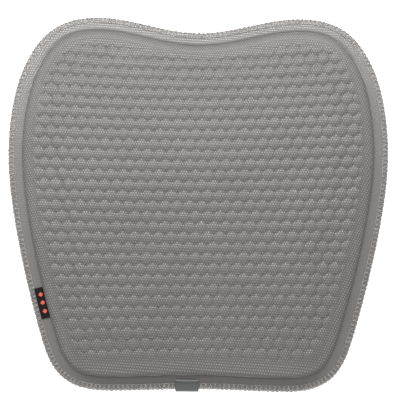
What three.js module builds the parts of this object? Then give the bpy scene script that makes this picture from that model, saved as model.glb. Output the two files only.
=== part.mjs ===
// A lobed seat cushion: an air-mesh face over a bubble-embossed wadding, two foam slabs,
// a non-slip base cloth and a three-thread overlocked edge, with a side label and a front tab.
// Millimetres. +X across the seat, +Y towards the lobed back edge, +Z up, floor at Z = 0.
import * as THREE from 'three';

// Overall sizes
const WIDTH = 450;
const DEPTH = 450;

// Outline of the finished edge
const LOBE_SPACING = 240;
const NOTCH_DEPTH = 18;
const SHOULDER_INSET = 22.4;
const SHOULDER_DROP = 50;
const SHOULDER_LEAN = 27.5;
const WIDEST_FROM_FRONT = 285;
const FLANK_END_WIDTH = 364;
const FLANK_END_FROM_FRONT = 60;
const FLANK_LEAN = 16.7;
const FOOT_SPACING = 212;
const FRONT_HOLLOW = 2.5;

// How full each bend is where it leaves one stop and where it meets the next, as shares of the
// straight distance between the two stops
const NOTCH_TO_LOBE = [0.35, 0.35];
const LOBE_TO_SHOULDER = [0.49, 0.33];
const SHOULDER_TO_SIDE = [0.27, 0.4];
const SIDE_TO_FLANK_END = [0.26, 0.31];
const FLANK_END_TO_FOOT = [0.38, 0.52];
const FOOT_TO_FRONT = [0.4, 0.4];
const POINTS_PER_BEND = 6;

// Flat pressed flange that carries the edge stitching
const FLANGE_WIDTH = 17;
const FLANGE_LIFT = 3;

// Raised pad: the quarter-ellipse shoulder above the flange and the low crown of the seat
const SHOULDER_WIDTH = 15;
const SHOULDER_RISE = 20.5;
const CROWN_RISE = 1.5;
const BASE_ROLL_WIDTH = 10;
const SHOULDER_STEPS = 4;
const CROWN_SHRINKS = [0.72, 0.38];

// Cloth and foam thicknesses
const FACE_THICKNESS = 3;
const FACE_PRESSED = 2;
const WADDING_THICKNESS = 5;
const WADDING_PRESSED = 1.2;
const SUPPORT_THICKNESS = 9;
const BASE_CLOTH_THICKNESS = 1.2;
const GRIP_THICKNESS = 0.5;

// Clearance between neighbouring pieces
const GAP = 0.3;

// Three-thread overlock
const THREAD_THICKNESS = 0.6;
const LOOPER_REACH = 5;
const NEEDLE_ROW_WIDTH = 0.6;

// Side label, on the left flank
const LABEL_LENGTH = 37.5;
const LABEL_TO_PAD = 0.7;
const LABEL_THICKNESS = 0.7;
const LABEL_FROM_FRONT = 100.5;

// Front tab, folded over the front edge
const TAB_WIDTH = 27;
const TAB_TAPE = 0.6;
const TAB_COVER = 10.5;
const TAB_OVERHANG = 2.5;
const TAB_OFFSET = -11;
const TAB_STITCH_MARGIN = 2.5;
const TAB_STITCH_INSET = 1.6;
const TAB_THREAD = 0.5;

// Heights of the layers, from the floor up
const baseClothBottom = GRIP_THICKNESS + GAP;
const baseClothTop = baseClothBottom + BASE_CLOTH_THICKNESS;
const supportBottom = baseClothTop + GAP;
const supportTop = supportBottom + SUPPORT_THICKNESS;
const comfortBottom = supportTop + GAP;
const flangeClothTop = FLANGE_LIFT + BASE_CLOTH_THICKNESS;
const flangeWaddingBottom = flangeClothTop + GAP;
const flangeWaddingTop = flangeWaddingBottom + WADDING_PRESSED;
const flangeFaceBottom = flangeWaddingTop + GAP;
const flangeTop = flangeFaceBottom + FACE_PRESSED;
const shoulderTop = flangeTop + SHOULDER_RISE;

// The cloth edge sits inside the finished edge by one thread and its clearance
const CLOTH_EDGE = THREAD_THICKNESS + GAP;
const LOOPER_INNER = CLOTH_EDGE + LOOPER_REACH;
const NEEDLE_OUTER = LOOPER_INNER + GAP;
const NEEDLE_INNER = NEEDLE_OUTER + NEEDLE_ROW_WIDTH;

// The label fills the flange between the needle row and the pad
const LABEL_OUTER = NEEDLE_INNER + GAP;
const LABEL_WIDTH = FLANGE_WIDTH - LABEL_TO_PAD - LABEL_OUTER;

// A direction that leans from straight down the cushion, in degrees, outwards when positive
function leaning(degrees) {
  const lean = THREE.MathUtils.degToRad(degrees);
  return new THREE.Vector2(Math.sin(lean), -Math.cos(lean));
}

// The right half of the outline as cubic bends, from the back notch to the middle of the front
function rightHalfBends() {
  const outwards = new THREE.Vector2(1, 0);
  const inwards = new THREE.Vector2(-1, 0);
  const back = DEPTH / 2;
  const front = -DEPTH / 2;
  const stops = [
    { at: new THREE.Vector2(0, back - NOTCH_DEPTH), along: outwards },
    { at: new THREE.Vector2(LOBE_SPACING / 2, back), along: outwards },
    {
      at: new THREE.Vector2(WIDTH / 2 - SHOULDER_INSET, back - SHOULDER_DROP),
      along: leaning(SHOULDER_LEAN),
    },
    { at: new THREE.Vector2(WIDTH / 2, front + WIDEST_FROM_FRONT), along: leaning(0) },
    {
      at: new THREE.Vector2(FLANK_END_WIDTH / 2, front + FLANK_END_FROM_FRONT),
      along: leaning(-FLANK_LEAN),
    },
    { at: new THREE.Vector2(FOOT_SPACING / 2, front), along: inwards },
    { at: new THREE.Vector2(0, front + FRONT_HOLLOW), along: inwards },
  ];
  const fullness = [
    NOTCH_TO_LOBE,
    LOBE_TO_SHOULDER,
    SHOULDER_TO_SIDE,
    SIDE_TO_FLANK_END,
    FLANK_END_TO_FOOT,
    FOOT_TO_FRONT,
  ];
  return fullness.map(([leaving, meeting], i) => {
    const from = stops[i];
    const to = stops[i + 1];
    const distance = from.at.distanceTo(to.at);
    const leave = from.at.clone().addScaledVector(from.along, leaving * distance);
    const meet = to.at.clone().addScaledVector(to.along, -meeting * distance);
    return new THREE.CubicBezierCurve(from.at, leave, meet, to.at);
  });
}

// Points and inward directions around the whole finished edge, anticlockwise from above
function edgeStations() {
  const half = new THREE.CurvePath();
  rightHalfBends().forEach((bend) => half.add(bend));
  const right = half.getPoints(POINTS_PER_BEND);
  const left = right.slice(1, -1).map((point) => new THREE.Vector2(-point.x, point.y));
  const points = [...left, ...right.reverse()];
  return points.map((point, i) => {
    const before = points[(i + points.length - 1) % points.length];
    const after = points[(i + 1) % points.length];
    const along = after.clone().sub(before).normalize();
    return { point, inward: new THREE.Vector2(-along.y, along.x) };
  });
}

const stations = edgeStations();
const padInset = FLANGE_WIDTH + SHOULDER_WIDTH;

// A level ring of points: inset from the finished edge, then shrunk towards the middle
function ring(inset, height, shrink = 1) {
  return stations.map(({ point, inward }) => {
    const moved = point.clone().addScaledVector(inward, inset).multiplyScalar(shrink);
    return new THREE.Vector3(moved.x, moved.y, height);
  });
}

// Side faces between each ring and the next one out or down
function sideFaces(rings, pairs) {
  const count = stations.length;
  const faces = [];
  for (let r = 0; r < pairs; r += 1) {
    const upper = r * count;
    const lower = ((r + 1) % rings.length) * count;
    for (let i = 0; i < count; i += 1) {
      const next = (i + 1) % count;
      faces.push(upper + i, lower + i, lower + next);
      faces.push(upper + i, lower + next, upper + next);
    }
  }
  return faces;
}

function solid(corners, faces) {
  const geometry = new THREE.BufferGeometry().setFromPoints(corners);
  geometry.setIndex(faces);
  return geometry;
}

// A closed band: the last ring joins back to the first
function band(rings) {
  return solid(rings.flat(), sideFaces(rings, rings.length));
}

// A closed pad: a fan round a middle point closes the first ring, and another the last
function pad(rings, firstHeight, lastHeight) {
  const count = stations.length;
  const corners = rings.flat();
  const first = corners.push(new THREE.Vector3(0, 0, firstHeight)) - 1;
  const last = corners.push(new THREE.Vector3(0, 0, lastHeight)) - 1;
  const faces = sideFaces(rings, rings.length - 1);
  const lastRing = (rings.length - 1) * count;
  for (let i = 0; i < count; i += 1) {
    const next = (i + 1) % count;
    faces.push(first, i, next);
    faces.push(last, lastRing + next, lastRing + i);
  }
  return solid(corners, faces);
}

function seatMiddle(depth) {
  return shoulderTop - depth + CROWN_RISE;
}

// One ring of the quarter-ellipse shoulder at a depth below the face: turn 0 is its foot
function shoulderRing(depth, footHeight, turn) {
  const footInset = FLANGE_WIDTH + depth;
  const top = shoulderTop - depth;
  const inset = footInset + (padInset - footInset) * (1 - Math.cos(turn));
  return ring(inset, footHeight + (top - footHeight) * Math.sin(turn));
}

// Evenly stepped turns of the shoulder between two limits, the upper one first
function shoulderTurns(upper, lower) {
  const even = [];
  for (let step = SHOULDER_STEPS; step >= 0; step -= 1) {
    even.push((step / SHOULDER_STEPS) * (Math.PI / 2));
  }
  return [upper, ...even.filter((turn) => turn < upper && turn > lower), lower];
}

// Rings of the domed seat at a depth below the face, from the middle out to a turn of the shoulder
function seatRings(depth, footHeight, lowestTurn = 0) {
  const top = shoulderTop - depth;
  const rings = CROWN_SHRINKS.slice().reverse().map((shrink) => {
    return ring(padInset, top + CROWN_RISE * (1 - shrink * shrink), shrink);
  });
  shoulderTurns(Math.PI / 2, lowestTurn).forEach((turn) => {
    rings.push(shoulderRing(depth, footHeight, turn));
  });
  return rings;
}

// A domed cap that is pressed flat at the flange: outer skin, cloth edge, inner skin
function pressedCap(depth, thickness, flangeHigh, flangeLow) {
  const outer = seatRings(depth, flangeHigh);
  const inner = seatRings(depth + thickness, flangeLow);
  const edge = [ring(CLOTH_EDGE, flangeHigh), ring(CLOTH_EDGE, flangeLow)];
  const rings = [...outer, ...edge, ...inner.reverse()];
  return pad(rings, seatMiddle(depth), seatMiddle(depth + thickness));
}

function topCover() {
  return pressedCap(0, FACE_THICKNESS, flangeTop, flangeFaceBottom);
}

const waddingDepth = FACE_THICKNESS + GAP;
const foamDepth = waddingDepth + WADDING_THICKNESS + GAP;

function bubbleWadding() {
  return pressedCap(waddingDepth, WADDING_THICKNESS, flangeWaddingTop, flangeWaddingBottom);
}

// Both foam slabs share the shoulder that the wadding leaves inside it
function foamTurn(height) {
  const rise = shoulderTop - foamDepth - flangeWaddingBottom;
  return Math.asin((height - flangeWaddingBottom) / rise);
}

function comfortFoam() {
  const rings = seatRings(foamDepth, flangeWaddingBottom, foamTurn(comfortBottom));
  return pad(rings, seatMiddle(foamDepth), comfortBottom);
}

function supportFoam() {
  const side = shoulderTurns(foamTurn(supportTop), 0).map((turn) => {
    return shoulderRing(foamDepth, flangeWaddingBottom, turn);
  });
  const rings = [...side, ring(FLANGE_WIDTH + BASE_ROLL_WIDTH, supportBottom)];
  return pad(rings, supportTop, supportBottom);
}

// The base cloth lies flat under the foam and rolls up to the flange
function baseCloth() {
  const rollInset = FLANGE_WIDTH + BASE_ROLL_WIDTH;
  const rings = [
    ring(rollInset, baseClothTop),
    ring(FLANGE_WIDTH, flangeClothTop),
    ring(CLOTH_EDGE, flangeClothTop),
    ring(CLOTH_EDGE, FLANGE_LIFT),
    ring(FLANGE_WIDTH, FLANGE_LIFT),
    ring(rollInset, baseClothBottom),
  ];
  return pad(rings, baseClothTop, baseClothBottom);
}

function gripCoating() {
  const gripInset = FLANGE_WIDTH + BASE_ROLL_WIDTH + GAP;
  return pad([ring(gripInset, GRIP_THICKNESS), ring(gripInset, 0)], GRIP_THICKNESS, 0);
}

const edgeMiddle = (flangeTop + FLANGE_LIFT) / 2;
const threadTop = flangeTop + GAP + THREAD_THICKNESS;
const threadBottom = FLANGE_LIFT - GAP - THREAD_THICKNESS;

// The upper looper covers the top of the edge and half of its side
function upperLooper() {
  return band([
    ring(LOOPER_INNER, flangeTop + GAP),
    ring(LOOPER_INNER, threadTop),
    ring(0, threadTop),
    ring(0, edgeMiddle + GAP / 2),
    ring(THREAD_THICKNESS, edgeMiddle + GAP / 2),
    ring(THREAD_THICKNESS, flangeTop + GAP),
  ]);
}

// The lower looper is its mirror, below the edge
function lowerLooper() {
  return band([
    ring(LOOPER_INNER, FLANGE_LIFT - GAP),
    ring(THREAD_THICKNESS, FLANGE_LIFT - GAP),
    ring(THREAD_THICKNESS, edgeMiddle - GAP / 2),
    ring(0, edgeMiddle - GAP / 2),
    ring(0, threadBottom),
    ring(LOOPER_INNER, threadBottom),
  ]);
}

// The needle thread runs along the inner side of the upper looper
function needleThread() {
  return band([
    ring(NEEDLE_INNER, flangeTop + GAP),
    ring(NEEDLE_INNER, threadTop),
    ring(NEEDLE_OUTER, threadTop),
    ring(NEEDLE_OUTER, flangeTop + GAP),
  ]);
}

// Where a flank crosses a given height of the plan, and the way it runs there
function flankAt(y) {
  const flank = rightHalfBends()[3];
  let low = 0;
  let high = 1;
  for (let i = 0; i < 30; i += 1) {
    const middle = (low + high) / 2;
    if (flank.getPoint(middle).y > y) {
      low = middle;
    } else {
      high = middle;
    }
  }
  return { point: flank.getPoint(low), along: flank.getTangent(low) };
}

// The label follows the stations that its neighbours are made from, so its gaps to them hold
function sideLabel(material) {
  const { along } = flankAt(-DEPTH / 2 + LABEL_FROM_FRONT);
  const halfReach = (LABEL_LENGTH / 2) * Math.abs(along.y);
  const front = -DEPTH / 2 + LABEL_FROM_FRONT - halfReach;
  const back = front + 2 * halfReach;
  const flank = stations.filter((s) => s.point.x < 0 && s.inward.x > Math.SQRT1_2);
  flank.sort((a, b) => a.point.y - b.point.y);
  const placed = (station, inset) => station.point.clone().addScaledVector(station.inward, inset);
  const cut = (y, inset) => {
    const i = flank.findIndex((s) => s.point.y > y);
    const share = (y - flank[i - 1].point.y) / (flank[i].point.y - flank[i - 1].point.y);
    return placed(flank[i - 1], inset).lerp(placed(flank[i], inset), share);
  };
  const between = flank.filter((s) => s.point.y > front && s.point.y < back);
  const side = (inset) => [cut(front, inset), ...between.map((s) => placed(s, inset)), cut(back, inset)];
  const outline = [...side(LABEL_OUTER), ...side(LABEL_OUTER + LABEL_WIDTH).reverse()];
  const geometry = new THREE.ExtrudeGeometry(new THREE.Shape(outline), {
    depth: LABEL_THICKNESS,
    bevelEnabled: false,
  });
  const mesh = new THREE.Mesh(geometry, material);
  mesh.position.z = flangeTop + GAP;
  return mesh;
}

const tabTop = threadTop + GAP + TAB_TAPE;
const tabBottom = threadBottom - GAP - TAB_TAPE;
const frontEdge = -DEPTH / 2 + FRONT_HOLLOW;

// The tab is a tape folded round the front edge, with both leaves the same length
function frontTab(material) {
  const fold = frontEdge - TAB_OVERHANG;
  const end = frontEdge + TAB_COVER;
  const section = new THREE.Shape([
    new THREE.Vector2(fold, tabBottom),
    new THREE.Vector2(end, tabBottom),
    new THREE.Vector2(end, tabBottom + TAB_TAPE),
    new THREE.Vector2(fold + TAB_TAPE, tabBottom + TAB_TAPE),
    new THREE.Vector2(fold + TAB_TAPE, tabTop - TAB_TAPE),
    new THREE.Vector2(end, tabTop - TAB_TAPE),
    new THREE.Vector2(end, tabTop),
    new THREE.Vector2(fold, tabTop),
  ]);
  const geometry = new THREE.ExtrudeGeometry(section, { depth: TAB_WIDTH, bevelEnabled: false });
  geometry.rotateY(Math.PI / 2);
  geometry.rotateX(Math.PI / 2);
  const mesh = new THREE.Mesh(geometry, material);
  mesh.position.x = TAB_OFFSET - TAB_WIDTH / 2;
  return mesh;
}

function tabThread(material) {
  const geometry = new THREE.BoxGeometry(TAB_WIDTH - 2 * TAB_STITCH_MARGIN, TAB_THREAD, TAB_THREAD);
  const mesh = new THREE.Mesh(geometry, material);
  const row = frontEdge + TAB_COVER - TAB_STITCH_INSET;
  mesh.position.set(TAB_OFFSET, row, tabTop + GAP + TAB_THREAD / 2);
  return mesh;
}

function material(colour, roughness) {
  return new THREE.MeshStandardMaterial({ color: colour, roughness, metalness: 0 });
}

const cushion = new THREE.Group();

function add(name, mesh) {
  mesh.name = name;
  cushion.add(mesh);
}

add('top_cover', new THREE.Mesh(topCover(), material(0x8a8785, 0.9)));
add('bubble_wadding', new THREE.Mesh(bubbleWadding(), material(0xdcdad2, 0.95)));
add('comfort_foam', new THREE.Mesh(comfortFoam(), material(0xe6e2d4, 0.95)));
add('support_foam', new THREE.Mesh(supportFoam(), material(0x9a9c9e, 0.95)));
add('base_cloth', new THREE.Mesh(baseCloth(), material(0x5a5958, 0.85)));
add('grip_coating', new THREE.Mesh(gripCoating(), material(0x3a3a3a, 0.6)));
add('needle_thread', new THREE.Mesh(needleThread(), material(0xb0adaa, 0.7)));
add('upper_looper_thread', new THREE.Mesh(upperLooper(), material(0xb6b3b0, 0.7)));
add('lower_looper_thread', new THREE.Mesh(lowerLooper(), material(0xa6a3a0, 0.7)));
add('side_label', sideLabel(material(0x221917, 0.6)));
add('front_tab', frontTab(material(0x646766, 0.6)));
add('front_tab_thread', tabThread(material(0x8e908f, 0.6)));

export default cushion;
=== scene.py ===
import math

import bpy
import numpy as np
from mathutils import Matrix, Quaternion, Vector
from mathutils.bvhtree import BVHTree
from mathutils.kdtree import KDTree


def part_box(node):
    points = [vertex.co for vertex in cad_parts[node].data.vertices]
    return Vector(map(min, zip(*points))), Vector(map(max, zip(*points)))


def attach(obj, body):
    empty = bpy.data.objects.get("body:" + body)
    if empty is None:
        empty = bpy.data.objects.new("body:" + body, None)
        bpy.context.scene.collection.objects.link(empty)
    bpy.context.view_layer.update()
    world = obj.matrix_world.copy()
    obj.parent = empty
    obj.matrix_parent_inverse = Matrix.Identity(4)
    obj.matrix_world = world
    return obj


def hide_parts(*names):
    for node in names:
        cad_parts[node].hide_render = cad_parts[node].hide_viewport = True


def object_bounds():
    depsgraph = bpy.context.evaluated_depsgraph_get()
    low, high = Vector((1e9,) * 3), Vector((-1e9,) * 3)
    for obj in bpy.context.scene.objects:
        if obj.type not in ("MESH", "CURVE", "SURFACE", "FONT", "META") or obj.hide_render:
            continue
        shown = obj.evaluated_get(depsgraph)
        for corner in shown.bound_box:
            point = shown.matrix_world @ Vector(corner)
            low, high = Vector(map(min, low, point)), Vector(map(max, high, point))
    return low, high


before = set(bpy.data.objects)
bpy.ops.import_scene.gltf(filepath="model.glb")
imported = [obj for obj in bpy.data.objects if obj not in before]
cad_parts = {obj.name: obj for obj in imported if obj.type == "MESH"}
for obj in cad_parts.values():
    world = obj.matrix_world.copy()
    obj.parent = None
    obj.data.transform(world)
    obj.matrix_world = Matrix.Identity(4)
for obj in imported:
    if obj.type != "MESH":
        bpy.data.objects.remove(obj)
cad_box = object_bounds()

# A lobed seat cushion in metres: air-mesh face, bubble wadding, two foam slabs, non-slip base,
# three-thread overlocked edge, woven side label and a tape tab.

MM = 0.001
rng = np.random.default_rng(7)

# Sizes that the frame holds, read from its nodes
SLACK = 0.3 * MM                    # clearance between neighbouring pieces
THREAD_BAND = 0.6 * MM              # thickness of the frame's bands of thread
FLANGE_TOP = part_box("side_label")[0].z - SLACK
FLANGE_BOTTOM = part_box("lower_looper_thread")[0].z + THREAD_BAND + SLACK
SEAT_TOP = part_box("top_cover")[1].z
EDGE_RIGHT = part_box("upper_looper_thread")[1].x
CLOTH_EDGE = EDGE_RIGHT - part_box("top_cover")[1].x

# The pressed flange and the raised pad. Its lobed back leans in softly, and its front stands up
# steeply: slack is 0 for a steep elliptical shoulder, and 1 for a soft one
FLANGE_WIDTH = 17 * MM
SHOULDER_WIDTH = 15 * MM
BACK_SLACK = 0.6
SIDE_SLACK = 0.5
FRONT_SLACK = 0.15
CROWN_RISE = 1.5 * MM
CROWN_REACH = 90 * MM
GROOVE_WIDTH = 1.6 * MM             # the press leaves a groove at the pad's foot, front and back
GROOVE_FRONT = 0.6 * MM
GROOVE_BACK = 1.4 * MM

# The layers' thicknesses, on the pad and where the press holds them at the flange
FACE = 3 * MM
FACE_PRESSED = 2 * MM
WADDING = 4.7 * MM
WADDING_PRESSED = 1.2 * MM
BASE_CLOTH = 1.2 * MM

# The embossed bubbles: rows across the seat, every other row half a bubble along
BUBBLE_PITCH = 14.28 * MM
BUBBLE_HEIGHT = 3.1 * MM
BUBBLE_ROOM = 0.9 * MM              # how far the smooth pad stops short of the seat's top, for them
BUBBLE_SUNK = 0.55                  # share of a bubble's height that is pressed down into the pad
BUBBLE_FULLNESS = 0.62              # 1 is a plain paraboloid; less is rounder on top, steeper at its foot
BUBBLE_LEAN = 0.3                   # how much the cloth is drawn towards each bubble's front
BUBBLE_SPREAD = 0.1                 # how unevenly they are formed
UNDER_SHARE = 0.8                   # how much of their height shows on the layers behind the face
FIELD_INSET = 31 * MM
FIELD_INSET_BACK = 6 * MM           # the field stops further in at the back than at the sides
FIELD_INSET_FRONT = 3 * MM
FIELD_FADE = 6 * MM

# Where the rows lie. ROWS_TO_BACK is how many lie between the back one and the seat's middle
COLUMN_SHIFT = 2.7 * MM
ROW_SHIFT = 3.3 * MM
ROW_SKEW = 0.012
ROWS_TO_BACK = 14.574
ROWS_PER_METRE = 80.53              # a row each 12.4 mm
ROW_TIGHTENING = 4.316
ROW_BOW = 1.9 * MM                  # how far a row bows back by BOW_REACH from the centre line
BOW_REACH = 142 * MM
BOW_SLOPE = 0.0156                  # and how much more it does so towards the back
BOW_CURVE = 0.3

# How much paler or darker than new the face cloth is painted: paler where it is pressed, with painted
# light under the overlock and painted shade at the front foot of each bubble
PRESSED_GAIN = 0.04
PAINTED_LIGHT_UNDER_OVERLOCK = 0.12
PAINTED_SHADE_LOSS = 0.32

# How finely the layers are meshed: cells across and cells deep
FACE_GRID = (364, 336)
LAYER_GRID = (156, 144)
SLAB_GRID = (78, 72)
COVER_GRID = (76, 72)

# The three-thread overlock. Real thread is about 0.4 mm thick; coarsened to show
STITCH = 5.4 * MM
LOOPER_THREAD = 0.9 * MM
NEEDLE_THREAD = 0.7 * MM
SEAM_REACH = 6                      # mm; about how far in from the rim the loopers' threads reach


# ---------------------------------------------------------------- the outline, from the frame

def wall_points(node_name):
    """The outward side wall of a CAD band, as plan points in order round the cushion."""
    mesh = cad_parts[node_name].data
    found = set()
    for face in mesh.polygons:
        if abs(face.normal.z) < 0.1 and face.normal.xy.dot(face.center.xy) > 0:
            for i in face.vertices:
                corner = mesh.vertices[i].co
                found.add((round(corner.x, 6), round(corner.y, 6)))
    return np.array(sorted(found, key=lambda p: math.atan2(p[1], p[0])))


def smooth_loop(points, count):
    """A closed curve with no kinks through plan points, as evenly spaced points."""
    total = len(points)
    chord = np.linalg.norm(np.roll(points, -1, 0) - points, axis=1)
    slope = (np.roll(points, -1, 0) - points) / chord[:, None]
    bend = np.zeros((total, total))
    for i in range(total):
        bend[i, i - 1] += chord[i - 1]
        bend[i, i] += 2 * (chord[i - 1] + chord[i])
        bend[i, (i + 1) % total] += chord[i]
    curl = np.linalg.solve(bend, 6 * (slope - np.roll(slope, 1, 0)))
    start = np.concatenate([[0], np.cumsum(chord)])
    along = np.linspace(0, start[-1], 6 * count, endpoint=False)
    i = np.searchsorted(start, along, side="right") - 1
    j = (i + 1) % total
    h = chord[i][:, None]
    after = (along - start[i])[:, None]
    before = h - after
    fine = (curl[i] * before**3 + curl[j] * after**3) / (6 * h)
    fine += (points[i] / h - curl[i] * h / 6) * before
    fine += (points[j] / h - curl[j] * h / 6) * after
    steps = np.linalg.norm(np.roll(fine, -1, 0) - fine, axis=1)
    reached = np.concatenate([[0], np.cumsum(steps)])
    wanted = np.linspace(0, reached[-1], count, endpoint=False)
    closed = np.vstack([fine, fine[:1]])
    even = [np.interp(wanted, reached, closed[:, axis]) for axis in (0, 1)]
    return np.stack(even, axis=1), reached[-1]


EDGE, EDGE_LENGTH = smooth_loop(wall_points("upper_looper_thread"), 2880)
along_edge = np.roll(EDGE, -1, 0) - np.roll(EDGE, 1, 0)
along_edge /= np.linalg.norm(along_edge, axis=1)[:, None]
EDGE_INWARD = np.stack([-along_edge[:, 1], along_edge[:, 0]], axis=1)


def edge_at(distance, inset):
    """Plan points at distances round the finished edge, each moved inwards by its inset."""
    place = np.asarray(distance) / EDGE_LENGTH * len(EDGE)
    low = np.floor(place).astype(int)
    share = (place - low)[..., None]
    low %= len(EDGE)
    high = (low + 1) % len(EDGE)
    point = EDGE[low] * (1 - share) + EDGE[high] * share
    inward = EDGE_INWARD[low] * (1 - share) + EDGE_INWARD[high] * share
    return point + inward * np.asarray(inset)[..., None]


edge_tree = KDTree(len(EDGE))
for i, (x, y) in enumerate(EDGE):
    edge_tree.insert((x, y, 0), i)
edge_tree.balance()


def inset_of(plan):
    """How far plan points lie inside the finished edge, and how much that edge faces front or back."""
    inset = np.zeros(len(plan))
    facing = np.zeros(len(plan))
    for i, (x, y) in enumerate(plan):
        _, nearest, distance = edge_tree.find((x, y, 0))
        inset[i] = distance
        facing[i] = abs(EDGE_INWARD[nearest][1])
    return inset, facing


def is_inside(plan):
    """Whether plan points lie inside the finished edge, by counting the edge lines they pass."""
    inside = np.zeros(len(plan), bool)
    x, y = plan[:, 0], plan[:, 1]
    for (x1, y1), (x2, y2) in zip(EDGE[::8], np.roll(EDGE[::8], -1, 0)):
        crosses = (y1 > y) != (y2 > y)
        if y1 != y2:
            inside ^= crosses & (x < (x2 - x1) * (y - y1) / (y2 - y1) + x1)
    return inside


# ---------------------------------------------------------------- meshes

def smoothstep(low, high, value):
    """0 up to low, 1 from high on, and a soft step between."""
    t = np.clip((value - low) / (high - low), 0, 1)
    return t * t * (3 - 2 * t)


def make_piece(name, vertices, faces, material, smooth=True):
    """A named mesh in the scene, of one material."""
    mesh = bpy.data.meshes.new(name)
    mesh.from_pydata([tuple(v) for v in vertices], [], faces)
    mesh.update()
    mesh.polygons.foreach_set("use_smooth", [smooth] * len(mesh.polygons))
    if material:
        mesh.materials.append(material)
    piece = bpy.data.objects.new(name, mesh)
    bpy.context.scene.collection.objects.link(piece)
    return piece


def settle(piece, slot_name, *nodes):
    """Rides the piece on the cushion's one body, in place of CAD nodes. Its slot name is not used."""
    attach(piece, "root")
    if nodes:
        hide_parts(*nodes)


CORNER_DIRECTIONS = ((1, -1), (1, 1), (-1, 1), (-1, -1))


def corner_distances():
    """Distances round the edge of the four places where it faces half-way between two sides."""
    places = [int(np.argmax(-EDGE_INWARD @ np.array(d))) for d in CORNER_DIRECTIONS]
    return [place / len(EDGE) * EDGE_LENGTH for place in places]


def stations(across, deep):
    """Distances round the edge: right side, back, left side, front, from corner to corner."""
    corners = corner_distances()
    found = []
    for side, count in enumerate((deep, across, deep, across)):
        start = corners[side]
        end = corners[(side + 1) % 4]
        if end < start:
            end += EDGE_LENGTH
        found.append(np.linspace(start, end, count, endpoint=False))
    return np.concatenate(found) % EDGE_LENGTH


def filled_patch(ring, across, deep):
    """Plan points of a grid that fills a ring of stations, with the ring as its border."""
    right = ring[0 : deep + 1]
    back = ring[deep : deep + across + 1][::-1]
    left = ring[deep + across : 2 * deep + across + 1][::-1]
    front = np.vstack([ring[2 * deep + across :], ring[:1]])
    u = np.linspace(0, 1, across + 1)[None, :, None]
    v = np.linspace(0, 1, deep + 1)[:, None, None]
    grid = (1 - v) * front[None] + v * back[None] + (1 - u) * left[:, None] + u * right[:, None]
    grid -= (1 - u) * (1 - v) * front[0] + u * (1 - v) * front[-1]
    grid -= (1 - u) * v * back[0] + u * v * back[-1]
    return grid


def sheet_surface(insets, across, deep):
    """Plan points and quads of a whole sheet: rings from the edge inwards, then a filled patch.

    Returns the points, each one's inset, its edge's facing, the quads, and the outer ring's indices.
    """
    distances = stations(across, deep)
    count = len(distances)
    rings = [edge_at(distances, np.full(count, inset)) for inset in insets]
    quads = []
    for r in range(len(rings) - 1):
        for i in range(count):
            n = (i + 1) % count
            quads.append((r * count + i, r * count + n, (r + 1) * count + n, (r + 1) * count + i))
    last = (len(rings) - 1) * count
    grid = filled_patch(rings[-1], across, deep)
    index = np.zeros((deep + 1, across + 1), int)
    index[:, -1] = last + np.arange(deep + 1)
    index[-1, ::-1] = last + deep + np.arange(across + 1)
    index[::-1, 0] = last + deep + across + np.arange(deep + 1)
    index[0, :-1] = last + 2 * deep + across + np.arange(across)
    inside = last + count
    index[1:-1, 1:-1] = inside + np.arange((deep - 1) * (across - 1)).reshape(deep - 1, across - 1)
    for row in range(deep):
        for column in range(across):
            quads.append((
                index[row, column], index[row, column + 1],
                index[row + 1, column + 1], index[row + 1, column],
            ))
    plan = np.vstack([*rings, grid[1:-1, 1:-1].reshape(-1, 2)])
    inset, facing = inset_of(plan)
    inset[: len(rings) * count] = np.repeat(insets, count)
    return plan, inset, facing, [tuple(int(i) for i in q) for q in quads], np.arange(count)


def closed_pad(upper_insets, lower_insets, across, deep, ratio, upper_height, lower_height):
    """Vertices and faces of a cloth or slab with thickness. Its underside is coarser by ratio.

    The heights are functions of (plan, inset, facing).
    """
    plan, inset, facing, quads, rim = sheet_surface(upper_insets, across, deep)
    below = sheet_surface(lower_insets, across // ratio, deep // ratio)
    top = np.column_stack([plan, upper_height(plan, inset, facing)])
    bottom = np.column_stack([below[0], lower_height(*below[:3])])
    start = len(plan)
    faces = list(quads)
    faces += [tuple(i + start for i in reversed(q)) for q in below[3]]
    count = len(rim)
    coarse = len(below[4])
    for i in range(coarse):
        n = (i + 1) % coarse
        upper_run = [(i * ratio + k) % count for k in range(ratio, -1, -1)]
        faces.append((start + i, start + n, *upper_run))
    return np.vstack([top, bottom]), faces


# ---------------------------------------------------------------- the seat's shape

def pad_height(inset, drop, flange, slack=0.0):
    """Height of a layer that lies drop below the seat's smooth top, and is pressed to flange.

    Its shoulder stands up steeply from the flange, or by slack leans in more softly.
    """
    foot = FLANGE_WIDTH + drop
    turn = np.clip((inset - foot) / (FLANGE_WIDTH + SHOULDER_WIDTH - foot), 0, 1)
    rise = (1 - slack) * np.sqrt(1 - (1 - turn) ** 2) + slack * smoothstep(0, 1, turn)
    crown = CROWN_RISE * (1 - np.exp(-np.clip(inset - foot, 0, 1) / CROWN_REACH))
    shoulder_top = SEAT_TOP - CROWN_RISE - BUBBLE_ROOM - drop
    return flange + (shoulder_top - flange) * rise + crown * turn


def bubble_lattice(plan):
    """Where plan points lie in the embossing: across and row, each counted in bubbles.

    The rows bow back towards the sides, because the press follows the lobed back edge, and the
    cloth was drawn a little finer at the back than at the front.
    """
    x, y = plan[:, 0], plan[:, 1]
    bow = (ROW_BOW + BOW_SLOPE * y + BOW_CURVE * y**3) * (x / BOW_REACH) ** 2
    y = y - bow - ROW_SKEW * x + ROW_SHIFT
    row = ROWS_TO_BACK - ROWS_PER_METRE * y - ROW_TIGHTENING * y**2
    across = (x + COLUMN_SHIFT) / BUBBLE_PITCH
    return across, row


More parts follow.
